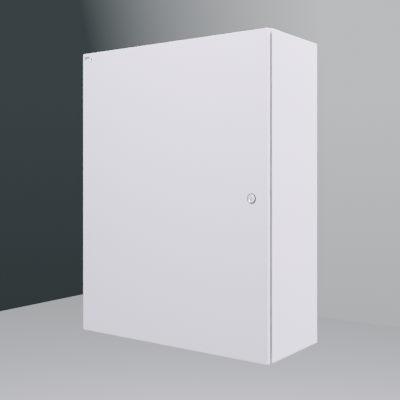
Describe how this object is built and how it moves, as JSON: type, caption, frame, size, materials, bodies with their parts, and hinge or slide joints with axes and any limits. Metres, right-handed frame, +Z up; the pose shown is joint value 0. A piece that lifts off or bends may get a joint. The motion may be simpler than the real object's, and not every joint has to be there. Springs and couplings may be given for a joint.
{
  "type": "automatic transfer switch",
  "caption": "Wall-hung sheet-steel cabinet with a hinged, cam-locked door, holding an automatic transfer switch with its breakers, controller, ducts and terminals.",
  "frame": {"origin": "centre of the cabinet's back face, on the wall", "axes": "+X to the right as the door is seen, +Y into the wall, +Z up"},
  "size_m": [0.5, 0.2179, 0.6707],
  "materials": {
    "powder_coat": "fine-textured light grey powder coat",
    "galvanised": "galvanised sheet",
    "zinc_plated": "bright zinc plating",
    "chromed_lock": "polished chrome plating",
    "brass_bar": "drawn brass bar on an insulating foot",
    "foam_seal": "black foamed polyurethane",
    "grommet_rubber": "soft black rubber",
    "case_grey": "light grey moulded plastic",
    "case_dark": "dark grey moulded plastic",
    "duct_grey": "mid grey extruded plastic",
    "lever_black": "black moulded plastic",
    "lever_blue": "blue moulded plastic",
    "lever_red": "red moulded plastic",
    "label": "printed or moulded grey plastic",
    "wire_brown": "PVC insulation",
    "wire_black": "PVC insulation",
    "wire_earth": "green and yellow PVC insulation"
  },
  "bodies": {
    "cabinet": {"cabinet_shell": "powder_coat", "gland_plate": "galvanised", "mounting_plate": "galvanised", "din_rail_upper": "galvanised", "din_rail_lower": "galvanised", "plate_nut_1": "zinc_plated", "plate_nut_2": "zinc_plated", "plate_nut_3": "zinc_plated", "plate_nut_4": "zinc_plated", "hinge_base_upper": "zinc_plated", "hinge_base_lower": "zinc_plated", "neutral_bar": "brass_bar", "earth_bar": "brass_bar", "gland_plate_seal": "foam_seal", "cable_grommet_1": "grommet_rubber", "cable_grommet_2": "grommet_rubber", "cable_grommet_3": "grommet_rubber", "breaker_1_case": "case_grey", "breaker_2_case": "case_grey", "control_breaker_case": "case_grey", "switch_unit_1": "case_grey", "switch_unit_2": "case_grey", "load_terminals": "case_grey", "controller_case": "case_dark", "drive_case": "case_dark", "duct_left": "duct_grey", "duct_right": "duct_grey", "duct_middle": "duct_grey", "duct_lower": "duct_grey", "duct_cover_left": "duct_grey", "duct_cover_right": "duct_grey", "duct_cover_middle": "duct_grey", "duct_cover_lower": "duct_grey", "control_terminals": "duct_grey", "harness_source_1": "wire_brown", "harness_source_2": "wire_brown", "harness_load": "wire_black", "earth_lead": "wire_earth"},
    "door": {"door_panel": "powder_coat", "door_seal": "foam_seal", "door_stiffener_left": "powder_coat", "door_stiffener_right": "powder_coat", "document_pocket": "case_grey", "hinge_leaf_upper": "zinc_plated", "hinge_leaf_lower": "zinc_plated", "hinge_pin_upper": "zinc_plated", "hinge_pin_lower": "zinc_plated", "lock_housing": "chromed_lock", "lock_nut": "zinc_plated", "nameplate": "label"},
    "lock": {"lock_cylinder": "chromed_lock", "lock_cam": "zinc_plated"},
    "breaker_1_lever": {"breaker_1_toggle": "lever_black"},
    "breaker_2_lever": {"breaker_2_toggle": "lever_black"},
    "control_breaker_lever": {"control_breaker_toggle": "lever_blue"},
    "handle": {"transfer_handle": "lever_red", "position_indicator": "label"},
    "selector": {"mode_selector": "lever_black"},
    "button_1": {"controller_button_1": "label"},
    "button_2": {"controller_button_2": "label"}
  },
  "joints": [
    {"name": "door_hinge", "type": "hinge", "parent": "cabinet", "child": "door", "pos_m": [-0.2448, -0.2065, 0], "axis": [0, 0, -1], "range_deg": [0, 110], "deforming": ["earth_lead"]},
    {"name": "lock_turn", "type": "hinge", "parent": "door", "child": "lock", "pos_m": [0.214, -0.2065, -0.005], "axis": [0, 1, 0], "range_deg": [0, 90]},
    {"name": "breaker_1_throw", "type": "hinge", "parent": "cabinet", "child": "breaker_1_lever", "pos_m": [-0.126, -0.0893, 0.195], "axis": [1, 0, 0], "range_deg": [0, 80]},
    {"name": "breaker_2_throw", "type": "hinge", "parent": "cabinet", "child": "breaker_2_lever", "pos_m": [0.036, -0.0893, 0.195], "axis": [1, 0, 0], "range_deg": [0, 80]},
    {"name": "control_breaker_throw", "type": "hinge", "parent": "cabinet", "child": "control_breaker_lever", "pos_m": [-0.054, -0.0893, 0.195], "axis": [1, 0, 0], "range_deg": [0, 80]},
    {"name": "transfer_throw", "type": "hinge", "parent": "cabinet", "child": "handle", "pos_m": [-0.045, -0.1053, 0], "axis": [1, 0, 0], "range_deg": [0, 80]},
    {"name": "selector_turn", "type": "hinge", "parent": "cabinet", "child": "selector", "pos_m": [-0.023, -0.1103, -0.038], "axis": [0, 1, 0], "range_deg": [0, 90]},
    {"name": "button_1_press", "type": "slide", "parent": "cabinet", "child": "button_1", "axis": [0, 1, 0], "range_m": [0, 0.0012], "stiffness_N_per_m": 400, "springref_m": -0.0015},
    {"name": "button_2_press", "type": "slide", "parent": "cabinet", "child": "button_2", "axis": [0, 1, 0], "range_m": [0, 0.0012], "stiffness_N_per_m": 400, "springref_m": -0.0015}
  ]
}
